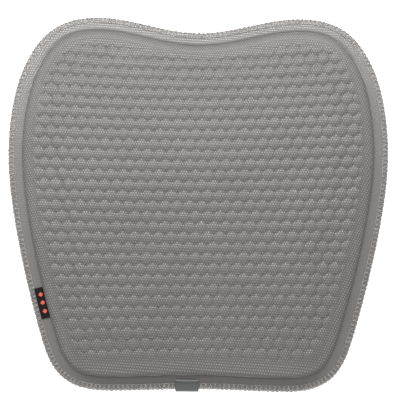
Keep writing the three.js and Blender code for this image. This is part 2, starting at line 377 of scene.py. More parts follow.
def bubble_relief(plan, inset, facing):
    """Relief of the embossing, how far it is formed, and how far forward in its bubble a point lies.

    The relief is 0 in the creases and about 1 on the bubbles; forward goes from -1 to 1.
    """
    across, row = bubble_lattice(plan)
    radius = 1 / math.sqrt(3)
    nearest = np.full(len(plan), np.inf)
    forward = np.zeros(len(plan))
    home = (0, 0)
    for step in (-1, 0, 1):
        line = np.round(row) + step
        offset = 0.5 * (line % 2)
        column = np.round(across - offset)
        sideways = across - offset - column
        deep = (row - line) * math.sqrt(3) / 2
        away = np.hypot(sideways, deep)
        closer = away < nearest
        nearest = np.where(closer, away, nearest)
        forward = np.where(closer, deep, forward)
        home = (np.where(closer, line, home[0]), np.where(closer, column, home[1]))
    dome = np.clip(1 - (nearest / radius) ** 2, 0, 1) ** BUBBLE_FULLNESS
    dome *= 1 + BUBBLE_LEAN * forward / radius
    scramble = np.sin(home[0] * 12.9898 + home[1] * 78.233) * 43758.5453
    uneven = 1 + BUBBLE_SPREAD * (2 * (scramble - np.floor(scramble)) - 1)
    ends = np.where(plan[:, 1] > 0, FIELD_INSET_BACK, FIELD_INSET_FRONT)
    start = FIELD_INSET + ends * facing**2
    field = smoothstep(start - FIELD_FADE / 2, start + FIELD_FADE / 2, inset)
    return dome * uneven, field, forward / radius


def pressed_tone_and_painted_light(plan):
    """How much paler or darker than new the face cloth is painted: by the press, and by painted light and
    shade.

    It is a little paler where it is pressed flat, and paler still under the overlock, painted light that
    lifts the shade between its threads. It is darker at the front foot of each bubble: painted shade,
    where that side faces away from the back light.
    """
    inset, facing = inset_of(plan)
    pressed = 1 - smoothstep(FLANGE_WIDTH - 1 * MM, FLANGE_WIDTH + 1 * MM, inset)
    # Painted light: paler under the overlock, lifting the shade between its threads
    painted_light_band = 1 - smoothstep((SEAM_REACH - 1) * MM, (SEAM_REACH + 0.5) * MM, inset)
    relief, field, forward = bubble_relief(plan, inset, facing)
    # Painted shade: darker at the front foot of each bubble, where it faces away from the back light
    pull_and_painted_shade = field * smoothstep(0.35, 0.95, forward) * (1 - smoothstep(0.3, 0.75, relief))
    return (1 + PRESSED_GAIN * pressed) * (1 + PAINTED_LIGHT_UNDER_OVERLOCK * painted_light_band) * (1 - PAINTED_SHADE_LOSS * pull_and_painted_shade)


def layer_height(drop, flange, bubble_share):
    """A height function for one layer, whose bubbles are a share of the face's.

    A layer with no bubbles has the steep shoulder all round, and only the face has the groove.
    """
    def height(plan, inset, facing):
        end_slack = np.where(plan[:, 1] > 0, BACK_SLACK, FRONT_SLACK)
        slack = (SIDE_SLACK + (end_slack - SIDE_SLACK) * facing**2) * (bubble_share > 0)
        level = pad_height(inset, drop, flange, slack)
        groove = np.exp(-((inset - FLANGE_WIDTH) / GROOVE_WIDTH) ** 2)
        relief, field, _ = bubble_relief(plan, inset, facing)
        depth = np.where(plan[:, 1] > 0, GROOVE_BACK, GROOVE_FRONT) * facing**2
        level = level - depth * groove * (drop == 0)
        return level + bubble_share * BUBBLE_HEIGHT * field * (relief - BUBBLE_SUNK)
    return height


def surface_above(vertices, faces):
    """A function that gives a surface's height over plan points, by dropping on to it."""
    tree = BVHTree.FromPolygons([tuple(v) for v in vertices], faces)
    down = Vector((0, 0, -1))

    def height(plan):
        found = np.zeros(len(plan))
        for i, (x, y) in enumerate(plan):
            hit = tree.ray_cast(Vector((x, y, 1.0)), down)[0]
            found[i] = hit.z if hit else np.nan
        return found
    return height


PRESSURE = 4.0
LAST_FRAME = 20
COVER_START = 0.35 * MM             # how unevenly the cover lies before it is blown up
SETTLE_LIMIT = 0.5 * MM             # how far it may leave the smooth pad


def settled_cover():
    """Blows the sewn cover up from inside, as its foam does, held at the stitched flange.

    Gives the unevenness that it leaves on the pad, as a function of plan points and inset.
    """
    insets = np.concatenate([
        np.linspace(CLOTH_EDGE, FLANGE_WIDTH, 4),
        np.linspace(FLANGE_WIDTH + 3 * MM, FLANGE_WIDTH + SHOULDER_WIDTH, 5),
    ])
    plan, inset, _, quads, _ = sheet_surface(insets, *COVER_GRID)
    rest = pad_height(inset, 0, FLANGE_TOP)
    ruffle = COVER_START * rng.standard_normal(len(plan)) * (inset > FLANGE_WIDTH + 4 * MM)
    start = np.column_stack([plan, rest + ruffle])
    cover = make_piece("cover_try", start, quads, None)
    held = cover.vertex_groups.new(name="held")
    held.add([int(i) for i in np.nonzero(inset < FLANGE_WIDTH + 1 * MM)[0]], 1.0, "REPLACE")
    cloth = cover.modifiers.new("Cloth", "CLOTH")
    cloth.settings.quality = 6
    cloth.settings.mass = 0.3
    cloth.settings.vertex_group_mass = "held"
    cloth.settings.use_pressure = True
    cloth.settings.uniform_pressure_force = PRESSURE
    cloth.settings.shrink_min = -0.006
    cloth.settings.effector_weights.gravity = 0
    cloth.point_cache.frame_start = 1
    cloth.point_cache.frame_end = LAST_FRAME
    scene = bpy.context.scene
    for frame_number in range(1, LAST_FRAME + 1):
        scene.frame_set(frame_number)
    done = cover.evaluated_get(bpy.context.evaluated_depsgraph_get()).to_mesh()
    blown = np.array([v.co[:] for v in done.vertices])
    bpy.data.objects.remove(cover)
    scene.frame_set(1)
    rise = blown[:, 2] - rest
    loose = inset > FLANGE_WIDTH + 2 * MM
    rise = np.where(loose, rise - np.median(rise[loose]), 0)
    rise = SETTLE_LIMIT * np.tanh(rise / SETTLE_LIMIT)
    uneven = surface_above(np.column_stack([plan, rise]), quads)

    def lift(plan, inset):
        found = np.nan_to_num(uneven(plan))
        return found * smoothstep(FLANGE_WIDTH + 1 * MM, FLANGE_WIDTH + 8 * MM, inset)
    return lift


# ---------------------------------------------------------------- materials

def linear(code, alpha=1.0):
    """An sRGB hex colour as the linear RGBA that the shaders take."""
    channels = [int(code[i : i + 2], 16) / 255 for i in (1, 3, 5)]
    return [c / 12.92 if c <= 0.04045 else ((c + 0.055) / 1.055) ** 2.4 for c in channels] + [alpha]


def set_inputs(tree, node, inputs):
    """Sets a node's inputs to values, or links them from sockets or from nodes' first outputs."""
    for name, value in inputs.items():
        if isinstance(value, bpy.types.Node):
            value = value.outputs[0]
        if isinstance(value, bpy.types.NodeSocket):
            tree.links.new(value, node.inputs[name])
        else:
            node.inputs[name].default_value = value


def add_node(tree, kind, inputs=None, **settings):
    """Adds a node with its settings and its inputs, as set_inputs takes them."""
    node = tree.nodes.new(kind)
    for name, value in settings.items():
        setattr(node, name, value)
    set_inputs(tree, node, inputs or {})
    return node


def new_material(name):
    """A material with its node tree, its shader, and the place on the piece, in metres."""
    material = bpy.data.materials.new(name)
    material.use_nodes = True
    tree = material.node_tree
    place = add_node(tree, "ShaderNodeTexCoord").outputs["Object"]
    return material, tree, tree.nodes["Principled BSDF"], place


def set_ramp(node, stops):
    """Fills a colour ramp with (position, hex) stops."""
    elements = node.color_ramp.elements
    while len(elements) < len(stops):
        elements.new(0.5)
    for element, (position, code) in zip(elements, stops):
        element.position = position
        element.color = linear(code)


def wave(tree, distance, period):
    """A cosine of a distance in metres, one wave to a period."""
    turned = add_node(tree, "ShaderNodeMath", {0: distance, 1: 2 * math.pi / period}, operation="MULTIPLY")
    return add_node(tree, "ShaderNodeMath", {0: turned}, operation="COSINE")


def mottled(tree, colour, place, size, darkest, palest, detail=2.0):
    """A colour in clouds of a size, which run from the darkest to the palest share of it."""
    clouds = add_node(tree, "ShaderNodeTexNoise", {"Vector": place, "Scale": 1 / size, "Detail": detail})
    share = add_node(tree, "ShaderNodeMapRange", {0: clouds, 1: 0.3, 2: 0.7, 3: darkest, 4: palest})
    return add_node(tree, "ShaderNodeVectorMath", {0: colour, 1: share}, operation="MULTIPLY")


DOT_PITCH = 2.96 * MM
DOT_ROW = 2.95 * MM
KNIT_SKEW = 0.058                   # how far the knit's rows slope down towards the right
KNOT_WANDER = 4.76 * MM             # over this far, the knots wander by a fraction of a millimetre
DYE_CLOUD = 71.4 * MM
YARN_FLECK = 2.38 * MM              # about a knot across
FILAMENT = 0.556 * MM               # filaments are about 0.02 mm thick; coarsened to show


def air_mesh_knit():
    """Warp-knitted polyester spacer mesh. Round knots of filament yarn stand in brick order with
    open pores between: the knots shine, and the pores are a darker, matt warm grey. The hot press
    flattens the yarn at the flange, so that it shines more there."""
    material, tree, shader, place = new_material("air_mesh_knit")
    wander = add_node(tree, "ShaderNodeTexNoise", {"Vector": place, "Scale": 1 / KNOT_WANDER})
    shifted = add_node(tree, "ShaderNodeVectorMath",
                       {0: wander.outputs["Color"], 1: (0.6 * MM, 0.6 * MM, 0.0), 2: place},
                       operation="MULTIPLY_ADD")
    axes = add_node(tree, "ShaderNodeSeparateXYZ", {0: shifted})
    course = add_node(tree, "ShaderNodeMath",
                      {0: axes.outputs["X"], 1: KNIT_SKEW, 2: axes.outputs["Y"]},
                      operation="MULTIPLY_ADD")
    columns = wave(tree, axes.outputs["X"], DOT_PITCH)
    brick = wave(tree, course, 2 * DOT_ROW)
    rows = wave(tree, course, DOT_ROW)
    staggered = add_node(tree, "ShaderNodeMath", {0: columns, 1: brick}, operation="MULTIPLY")
    knots = add_node(tree, "ShaderNodeMath", {0: staggered, 1: 2.0, 2: rows}, operation="MULTIPLY_ADD")
    height = add_node(tree, "ShaderNodeMapRange", {0: knots, 1: -1.5, 2: 3.0, 3: 0.0, 4: 1.0})

    colour = add_node(tree, "ShaderNodeValToRGB", {0: height})
    set_ramp(colour, [(0.0, "#595755"), (0.3, "#605e5c"), (0.65, "#696765"), (1.0, "#747270")])
    colour = mottled(tree, colour, place, DYE_CLOUD, 0.95, 1.05, detail=3.0)
    colour = mottled(tree, colour, place, YARN_FLECK, 0.93, 1.07)
    # The face's per-point tone: the press's paler flange, with painted light under the overlock and
    # painted shade at each bubble's front foot
    pressed_and_painted_tone = add_node(tree, "ShaderNodeAttribute", attribute_name="pressed_tone_and_painted_light").outputs["Fac"]
    colour = add_node(tree, "ShaderNodeVectorMath", {0: colour, 1: pressed_and_painted_tone}, operation="MULTIPLY")

    matt = add_node(tree, "ShaderNodeMapRange", {0: height, 1: 0.4, 2: 0.72, 3: 1.0, 4: 0.3})
    flattened = add_node(tree, "ShaderNodeMapRange",
                         {0: pressed_and_painted_tone, 1: 1.0, 2: 1 + PRESSED_GAIN, 3: 1.0, 4: 0.65})
    rough = add_node(tree, "ShaderNodeMath", {0: matt, 1: flattened}, operation="MULTIPLY")

    fibres = add_node(tree, "ShaderNodeTexNoise", {"Vector": place, "Scale": 1 / FILAMENT})
    raised = add_node(tree, "ShaderNodeMath", {0: fibres, 1: 0.2, 2: height}, operation="MULTIPLY_ADD")
    bump = add_node(tree, "ShaderNodeBump", {"Height": raised, "Strength": 0.36, "Distance": 0.4 * MM})
    set_inputs(tree, shader, {
        "Base Color": colour, "Roughness": rough, "Normal": bump,
        "IOR": 1.6, "Specular IOR Level": 1.0,
    })
    return material


WADDING_CLOUD = 16.7 * MM
WADDING_FIBRE = 1.11 * MM           # staple fibres are about 0.03 mm thick; coarsened to show


def needled_wadding():
    """Polyester staple fibre needled into a soft web: off-white, matt, with cloudy tangled fibres."""
    material, tree, shader, place = new_material("needled_wadding")
    clouds = add_node(tree, "ShaderNodeTexNoise",
                      {"Vector": place, "Scale": 1 / WADDING_CLOUD, "Detail": 4.0})
    colour = add_node(tree, "ShaderNodeValToRGB", {0: clouds})
    set_ramp(colour, [(0.3, "#cfccc2"), (0.7, "#e6e3da")])
    stretched = add_node(tree, "ShaderNodeMapping", {"Vector": place, "Scale": (1.0, 0.25, 1.0)})
    tangle = add_node(tree, "ShaderNodeTexNoise",
                      {"Vector": stretched, "Scale": 1 / WADDING_FIBRE, "Detail": 4.0})
    bump = add_node(tree, "ShaderNodeBump", {"Height": tangle, "Strength": 0.7, "Distance": 0.6 * MM})
    set_inputs(tree, shader, {
        "Base Color": colour, "Roughness": 0.95, "Normal": bump, "Sheen Weight": 0.4,
    })
    return material


FOAM_STREAK = 40 * MM               # the block rises unevenly as it foams


def cut_foam(name, dark, pale, pore):
    """Slabstock polyurethane foam, cut by a band knife: matt, with open cells of the pore size."""
    material, tree, shader, place = new_material(name)
    cells = add_node(tree, "ShaderNodeTexVoronoi", {"Vector": place, "Scale": 1 / pore})
    colour = add_node(tree, "ShaderNodeValToRGB", {0: cells})
    set_ramp(colour, [(0.0, dark), (0.5, pale), (1.0, pale)])
    colour = mottled(tree, colour, place, FOAM_STREAK, 0.94, 1.04, detail=3.0)
    bump = add_node(tree, "ShaderNodeBump", {"Height": cells, "Strength": 0.8, "Distance": 0.4 * pore})
    set_inputs(tree, shader, {"Base Color": colour, "Roughness": 0.95, "Normal": bump})
    return material


BASE_YARN = 1.6 * MM                # real yarns lie about 0.5 mm apart; coarsened to show
RUBBED_PATCH = 55.6 * MM


def base_weave():
    """Plain-weave polyester backing: dark grey, yarns over and under in a checker, worn paler in
    patches where it rubs on the chair."""
    material, tree, shader, place = new_material("base_weave")
    axes = add_node(tree, "ShaderNodeSeparateXYZ", {0: place})
    warp = wave(tree, axes.outputs["X"], BASE_YARN)
    weft = wave(tree, axes.outputs["Y"], BASE_YARN)
    checker = add_node(tree, "ShaderNodeMath", {0: warp, 1: weft}, operation="MULTIPLY")
    height = add_node(tree, "ShaderNodeMapRange", {0: checker, 1: -1.0, 2: 1.0, 3: 0.0, 4: 1.0})
    colour = add_node(tree, "ShaderNodeValToRGB", {0: height})
    set_ramp(colour, [(0.0, "#474544"), (0.5, "#5a5857"), (1.0, "#6d6b69")])
    clouds = add_node(tree, "ShaderNodeTexNoise",
                      {"Vector": place, "Scale": 1 / RUBBED_PATCH, "Detail": 4.0})
    rubbed = add_node(tree, "ShaderNodeMapRange", {0: clouds, 1: 0.45, 2: 0.7, 3: 1.0, 4: 1.18})
    colour = add_node(tree, "ShaderNodeVectorMath", {0: colour, 1: rubbed}, operation="MULTIPLY")
    bump = add_node(tree, "ShaderNodeBump", {"Height": height, "Strength": 0.6, "Distance": 0.3 * MM})
    set_inputs(tree, shader, {
        "Base Color": colour, "Roughness": 0.85, "Normal": bump, "Sheen Weight": 0.1,
    })
    return material


LINT_PATCH = 8.33 * MM


def printed_silicone():
    """Screen-printed silicone: near black, satin, dusty in patches as it picks up lint."""
    material, tree, shader, place = new_material("printed_silicone")
    lint = add_node(tree, "ShaderNodeTexNoise", {"Vector": place, "Scale": 1 / LINT_PATCH, "Detail": 4.0})
    colour = add_node(tree, "ShaderNodeValToRGB", {0: lint})
    set_ramp(colour, [(0.4, "#262626"), (0.75, "#4c4b4a")])
    dusty = add_node(tree, "ShaderNodeMapRange", {0: lint, 1: 0.4, 2: 0.75, 3: 0.35, 4: 0.7})
    set_inputs(tree, shader, {"Base Color": colour, "Roughness": dusty, "IOR": 1.41})
    return material


CRIMP = 1.43 * MM
THREAD_CLOUD = 11.1 * MM            # about two stitches


def textured_thread(name, dark, pale):
    """Textured polyester looper thread: soft, slightly hairy, with its crimp showing as flecks."""
    material, tree, shader, place = new_material(name)
    crimp = add_node(tree, "ShaderNodeTexNoise", {"Vector": place, "Scale": 1 / CRIMP, "Detail": 3.0})
    colour = add_node(tree, "ShaderNodeValToRGB", {0: crimp})
    set_ramp(colour, [(0.35, dark), (0.65, pale)])
    colour = mottled(tree, colour, place, THREAD_CLOUD, 0.86, 1.12)
    bump = add_node(tree, "ShaderNodeBump", {"Height": crimp, "Strength": 0.6, "Distance": 0.2 * MM})
    set_inputs(tree, shader, {
        "Base Color": colour, "Roughness": 0.6, "Normal": bump, "Sheen Weight": 0.3,
    })
    return material


RIB = 1.0 * MM                      # the label's and tape's ribs are about 0.4 mm; coarsened to show
TAPE_FLECK = 2 * MM


def ribbed_tape(name, dark, pale, rib_axis, shine, painted_highlight_from=None):
    """Narrow woven polyester tape: fine ribs across it, and the filament's low sheen.

    Past a place along Y, the end that is stitched down is painted much paler: a painted highlight along
    the tape's inner edge.
    """
    material, tree, shader, place = new_material(name)
    axes = add_node(tree, "ShaderNodeSeparateXYZ", {0: place})
    ribs = wave(tree, axes.outputs[rib_axis], RIB)
    height = add_node(tree, "ShaderNodeMapRange", {0: ribs, 1: -1.0, 2: 1.0, 3: 0.0, 4: 1.0})
    fibres = add_node(tree, "ShaderNodeTexNoise", {"Vector": place, "Scale": 1 / TAPE_FLECK})
    mixed = add_node(tree, "ShaderNodeMath", {0: fibres, 1: 0.5, 2: height}, operation="MULTIPLY_ADD")
    colour = add_node(tree, "ShaderNodeValToRGB", {0: mixed})
    set_ramp(colour, [(0.1, dark), (1.0, pale)])
    # Painted highlight: the tape is three times paler past that place
    if painted_highlight_from is not None:
        painted_highlight = add_node(tree, "ShaderNodeMapRange", {
            0: axes.outputs["Y"], 1: painted_highlight_from - 0.2 * MM, 2: painted_highlight_from + 0.2 * MM, 3: 1.0, 4: 3.0,
        })
        colour = add_node(tree, "ShaderNodeVectorMath", {0: colour, 1: painted_highlight}, operation="MULTIPLY")
    bump = add_node(tree, "ShaderNodeBump", {"Height": height, "Strength": 0.4, "Distance": 0.12 * MM})
    set_inputs(tree, shader, {
        "Base Color": colour, "Roughness": 0.65, "Normal": bump, "Specular IOR Level": shine,
    })
    return material


# ---------------------------------------------------------------- padded layers

def face_piece(lift):
    """The air mesh, embossed on both sides. Its rings lie closest where the pad's foot bends."""
    upper = np.concatenate([
        np.linspace(CLOTH_EDGE, FLANGE_WIDTH - 2 * MM, 12),
        np.linspace(FLANGE_WIDTH - 1.4 * MM, FLANGE_WIDTH + 2 * MM, 7),
        np.linspace(FLANGE_WIDTH + 3 * MM, FLANGE_WIDTH + SHOULDER_WIDTH + 2 * MM, 12),
    ])
    lower = np.concatenate([
        np.linspace(CLOTH_EDGE, FLANGE_WIDTH + 2 * MM, 4),
        np.linspace(FLANGE_WIDTH + 3.5 * MM, FLANGE_WIDTH + SHOULDER_WIDTH + 2 * MM, 8),
    ])
    smooth_top = layer_height(0, FLANGE_TOP, 1.0)
    smooth_back = layer_height(FACE, FLANGE_TOP - FACE_PRESSED, UNDER_SHARE)

    def top(plan, inset, facing):
        return smooth_top(plan, inset, facing) + lift(plan, inset)

    def back(plan, inset, facing):
        return smooth_back(plan, inset, facing) + lift(plan, inset)

    vertices, faces = closed_pad(upper, lower, *FACE_GRID, 4, top, back)
    piece = make_piece("seat_face", vertices, faces, air_mesh_knit())
    # Painted light and shade, with the press's tone, are stored on the face's points
    layer = piece.data.attributes.new("pressed_tone_and_painted_light", "FLOAT", "POINT")
    layer.data.foreach_set("value", pressed_tone_and_painted_light(vertices[:, :2]))
    settle(piece, "air_mesh", "top_cover")


def wadding_piece():
    """The wadding behind the face. It fills the bubbles, and is smooth where it lies on the foam."""
    insets = np.concatenate([
        np.linspace(CLOTH_EDGE, FLANGE_WIDTH + 3.3 * MM, 4),
        np.linspace(FLANGE_WIDTH + 4 * MM, FLANGE_WIDTH + SHOULDER_WIDTH + 2 * MM, 8),
    ])
    drop = FACE + 2 * SLACK
    pressed = FLANGE_TOP - FACE_PRESSED - SLACK
    top = layer_height(drop, pressed, UNDER_SHARE)
    back = layer_height(drop + WADDING, pressed - WADDING_PRESSED, 0.0)
    vertices, faces = closed_pad(insets, insets, *LAYER_GRID, 2, top, back)
    piece = make_piece("bubble_layer", vertices, faces, needled_wadding())
    settle(piece, "wadding", "bubble_wadding")


def slab_piece(name, node, slot_name, material, upper_round, lower_round):
    """A foam slab with rounded edges, between its CAD node's top and bottom."""
    low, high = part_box(node)
    inset = EDGE_RIGHT - high.x
    middle = (low.z + high.z) / 2

    def insets(turn):
        return np.concatenate([np.linspace(inset, inset + turn, 7), [inset + turn + 5 * MM]])

    def height(level, turn):
        def found(plan, inside, facing):
            share = np.clip((inside - inset) / turn, 0, 1)
            return middle + (level - middle) * np.sqrt(1 - (1 - share) ** 2)
        return found

    vertices, faces = closed_pad(
        insets(upper_round), insets(lower_round), *SLAB_GRID, 1,
        height(high.z, upper_round), height(low.z, lower_round),
    )
    piece = make_piece(name, vertices, faces, material)
    settle(piece, slot_name, node)


RIPPLE = 0.12 * MM                  # how far the base cloth puckers, and how often each way
RIPPLE_ACROSS = 9 * MM
RIPPLE_DEEP = 11 * MM


def underside_piece():
    """The base cloth: flat under the pad, and rolling up to the flange."""
    insets = np.concatenate([
        np.linspace(CLOTH_EDGE, FLANGE_WIDTH, 6),
        np.linspace(FLANGE_WIDTH + 2 * MM, FLANGE_WIDTH + 12 * MM, 6),
    ])
    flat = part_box("base_cloth")[0].z

    def under(plan, inset, facing):
        roll = smoothstep(FLANGE_WIDTH - 2 * MM, FLANGE_WIDTH + 10 * MM, inset)
        ripple = RIPPLE * np.sin(plan[:, 0] / RIPPLE_ACROSS) * np.sin(plan[:, 1] / RIPPLE_DEEP)
        return FLANGE_BOTTOM + (flat - FLANGE_BOTTOM) * roll + ripple * roll

    def over(plan, inset, facing):
        return under(plan, inset, facing) + BASE_CLOTH

    vertices, faces = closed_pad(insets, insets, *LAYER_GRID, 1, over, under)
    piece = make_piece("underside_cloth", vertices, faces, base_weave())
    settle(piece, "base_cloth", "base_cloth")


GRIP_DOT = 2.8 * MM
GRIP_PITCH = 9 * MM
GRIP_SIDES = 12
GRIP_SUNK = 0.2 * MM                # how far the print sinks into the cloth


def grip_piece():
    """Printed dots in staggered rows over the flat underside, squeezed flat where they bear."""
    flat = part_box("base_cloth")[0].z + GRIP_SUNK
    limit = EDGE_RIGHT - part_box("grip_coating")[1].x
    row_gap = GRIP_PITCH * math.sqrt(3) / 2
    rows = int(EDGE_RIGHT / row_gap)
    columns = int(EDGE_RIGHT / GRIP_PITCH) + 1
    places = np.array([
        ((column + 0.5 * (row % 2)) * GRIP_PITCH, row * row_gap)
        for row in range(-rows, rows + 1)
        for column in range(-columns, columns + 1)
    ])
    inset, _ = inset_of(places)
    printed = is_inside(places) & (inset > limit + GRIP_DOT / 2)

    turns = [2 * math.pi * i / GRIP_SIDES for i in range(GRIP_SIDES)]
    rings = ((1.0, flat), (0.93, flat * 0.45), (0.7, flat * 0.1), (0.35, 0.0))
    vertices = []
    faces = []
    for x, y in places[printed]:
        radius = GRIP_DOT / 2 * (1 + 0.08 * rng.uniform(-1, 1))
        start = len(vertices)
        for share, z in rings:
            vertices += [(x + radius * share * math.cos(t), y + radius * share * math.sin(t), z)
                         for t in turns]
        for r in range(len(rings) - 1):
            for i in range(GRIP_SIDES):
                n = (i + 1) % GRIP_SIDES
                a = start + r * GRIP_SIDES
                faces.append((a + n, a + i, a + GRIP_SIDES + i, a + GRIP_SIDES + n))
        faces.append(tuple(range(start, start + GRIP_SIDES)))
        last = start + (len(rings) - 1) * GRIP_SIDES
        faces.append(tuple(range(last + GRIP_SIDES - 1, last - 1, -1)))
    piece = make_piece("grip_dots", vertices, faces, printed_silicone())
    settle(piece, "grip", "grip_coating")


# ---------------------------------------------------------------- overlock

STITCHES = round(EDGE_LENGTH / STITCH)
THREAD_WANDER = 0.06 * MM           # how unevenly the thread lies on the cloth


def thread_piece(name, runs, thickness, material, closed=True):
    """Thread laid along runs of points, as round yarn."""
    curve = bpy.data.curves.new(name, "CURVE")
    curve.dimensions = "3D"
    curve.bevel_depth = thickness / 2
    curve.bevel_resolution = 1
    curve.use_fill_caps = True
    for points in runs:
        line = curve.splines.new("POLY")
        line.points.add(len(points) - 1)
        line.points.foreach_set("co", np.column_stack([points, np.ones(len(points))]).ravel())
        line.use_cyclic_u = closed
    source = bpy.data.objects.new(name + "_line", curve)
    bpy.context.scene.collection.objects.link(source)
    bpy.context.view_layer.update()
    graph = bpy.context.evaluated_depsgraph_get()
    mesh = bpy.data.meshes.new_from_object(source.evaluated_get(graph))
    bpy.data.objects.remove(source)
    mesh.name = name
    mesh.polygons.foreach_set("use_smooth", [True] * len(mesh.polygons))
    mesh.materials.clear()
    mesh.materials.append(material)
    piece = bpy.data.objects.new(name, mesh)
    bpy.context.scene.collection.objects.link(piece)
    return piece


def stitched_run(stops, sway, pull):
    """One thread right round the edge. stops are (share of a stitch, inset, height) in mm.

    sway and pull are how unevenly, in mm, the stitches lean along the edge and reach the rim.
    """
    pitch = EDGE_LENGTH / STITCHES
    distance = []
    inset = []
    height = []
    for i in range(STITCHES):
        lean = sway * MM * rng.standard_normal()
        pull_and_painted_shade = pull * MM * rng.standard_normal()
        for share, inwards, z in stops:
            outness = max(0.0, 1 - inwards / SEAM_REACH)
            distance.append((i + share) * pitch + lean * outness)
            inset.append(inwards * MM + pull_and_painted_shade * outness * 0.5)
            height.append(z * MM + THREAD_WANDER * rng.standard_normal())
    plan = edge_at(np.array(distance) % EDGE_LENGTH, np.array(inset))
    return np.column_stack([plan, height])


def mirrored(stops, middle):
    """The same stitch on the other side of the cloth, whose middle is at that height in mm."""
    return [(share, inset, 2 * middle - z) for share, inset, z in stops]


# Each stitch goes out to the rim and back twice, as the two loopers' threads lock there
LOOPER_STOPS = [
    (0.00, 6.7, 8.15), (0.06, 5.9, 8.50), (0.15, 4.2, 8.66), (0.24, 2.4, 8.66),
    (0.31, 1.0, 8.45), (0.36, 0.45, 7.70), (0.42, 0.45, 6.60), (0.48, 0.45, 7.70),
    (0.54, 0.9, 8.40), (0.61, 1.7, 8.60), (0.68, 0.8, 8.40), (0.74, 0.45, 7.60),
    (0.79, 0.50, 7.70), (0.84, 1.4, 8.50), (0.90, 3.2, 8.66), (0.95, 5.2, 8.55),
]


LOOPER_SWAY = 0.14
LOOPER_PULL = 0.22

# The needle's stitches lie along the seam and dip where they lock
NEEDLE_STOPS = [
    (0.02, 6.5, 7.90), (0.10, 6.5, 8.50), (0.30, 6.5, 8.75), (0.50, 6.5, 8.75),
    (0.72, 6.5, 8.70), (0.90, 6.5, 8.45), (0.97, 6.5, 7.90),
]
NEEDLE_SWAY = 0.1
NEEDLE_PULL = 0.15


def overlock_pieces():
    """The three threads of the overlocked edge."""
    looper = textured_thread("looper_thread", "#74716e", "#c3c0bc")
    run = stitched_run(LOOPER_STOPS, LOOPER_SWAY, LOOPER_PULL)
    upper = thread_piece("upper_loops", [run], LOOPER_THREAD, looper)
    settle(upper, "edge_thread", "upper_looper_thread")

    middle = (FLANGE_TOP + FLANGE_BOTTOM) / 2 / MM
    run = stitched_run(mirrored(LOOPER_STOPS, middle), LOOPER_SWAY, LOOPER_PULL)
    lower = thread_piece("lower_loops", [run], LOOPER_THREAD, looper)
    settle(lower, "edge_thread", "lower_looper_thread")

    run = stitched_run(NEEDLE_STOPS, NEEDLE_SWAY, NEEDLE_PULL)
    needle = thread_piece("needle_stitches", [run], NEEDLE_THREAD,
                          textured_thread("needle_thread", "#7c7875", "#bdb9b5"))
    settle(needle, "edge_thread", "needle_thread")


# ---------------------------------------------------------------- label and tab

LABEL_LENGTH = 37.5 * MM
LABEL_REACH = (6.4 * MM, 16.3 * MM)
LABEL_CLOTH = 0.35 * MM
LABEL_LIFT = 0.45 * MM              # from the flange to the middle of its lower leaf
LEAF_GAP = 0.25 * MM                # between its two leaves
LABEL_CURL = 0.35 * MM              # how far its free corners lift

# Three plain woven diamonds, as shares of the label's length from its middle. Each is a stack of
# rings, given as (reach, height above the label)
MARK_PLACES = (-0.27, 0.0, 0.28)
MARK_INSET = 12.6 * MM
MARK_SIDES = 16
MARK_RINGS = ((2.9 * MM, 0.02 * MM), (2.5 * MM, 0.22 * MM), (1.1 * MM, 0.26 * MM))

TAB_CLOTH = 0.6 * MM
TAB_CORNER = 1.2 * MM               # radius of its two bends round the edge
TAB_STITCHES = 9
TAB_THREAD = 0.5 * MM
TAB_STOPS = [(0.04, -0.5), (0.12, 0.05), (0.3, 0.25), (0.5, 0.3), (0.7, 0.25), (0.88, 0.05), (0.96, -0.5)]


def folded_strip(name, profile, frames, material):
    """A closed strip: a ring of profile points, carried along frames that place them."""
    vertices = []
    for place in frames:
        vertices += [place(a, z) for a, z in profile]
    ring = len(profile)
    faces = []
    for r in range(len(frames) - 1):
        for i in range(ring):
            n = (i + 1) % ring
            faces.append((r * ring + i, r * ring + n, (r + 1) * ring + n, (r + 1) * ring + i))
    faces.append(tuple(range(ring - 1, -1, -1)))
    last = (len(frames) - 1) * ring
    faces.append(tuple(range(last, last + ring)))
    return make_piece(name, vertices, faces, material, smooth=False)


def thick_profile(line, thickness):
    """The outline of a strip's section, from the line along its middle."""
    line = np.array(line)
    along = np.gradient(line, axis=0)
    along /= np.linalg.norm(along, axis=1)[:, None]
    side = np.column_stack([-along[:, 1], along[:, 0]]) * thickness / 2
    return np.vstack([line + side, (line - side)[::-1]])


def fold_line(start, fold, low, high, steps=9):
    """A line out along low from start to the fold, round it, and back along high."""
    radius = (high - low) / 2
    middle = (high + low) / 2
    out = [(start + (fold - radius - start) * i / steps, low) for i in range(steps)]
    turn = [(fold - radius + radius * math.sin(a), middle - radius * math.cos(a))
            for a in np.linspace(0, math.pi, 9)]
    back = [(start + (fold - radius - start) * (1 - i / steps), high) for i in range(1, steps + 1)]
    return out + turn + back


def label_pieces():
    """The label, folded double with its fold towards the pad, and its marks."""
    middle = (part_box("side_label")[0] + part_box("side_label")[1]) / 2
    _, nearest, _ = edge_tree.find((middle.x, middle.y, 0))
    centre = nearest / len(EDGE) * EDGE_LENGTH
    low = FLANGE_TOP + LABEL_LIFT
    high = low + LABEL_CLOTH + LEAF_GAP
    profile = thick_profile(fold_line(*LABEL_REACH, low, high), LABEL_CLOTH)

    def place_at(along):
        curl = LABEL_CURL * (2 * along / LABEL_LENGTH) ** 2

        def place(inwards, z):
            free = smoothstep(10 * MM, 16 * MM, inwards)
            point = edge_at(np.array([(centre + along) % EDGE_LENGTH]), np.array([inwards]))[0]
            return (point[0], point[1], z + curl * free)
        return place

    frames = [place_at(a) for a in np.linspace(-LABEL_LENGTH / 2, LABEL_LENGTH / 2, 31)]
    black = ribbed_tape("label_satin", "#080606", "#1c1818", "Y", 0.15)
    label = folded_strip("woven_label", profile, frames, black)
    settle(label, "label", "side_label")
    marks = mark_piece(place_at, high + LABEL_CLOTH / 2)


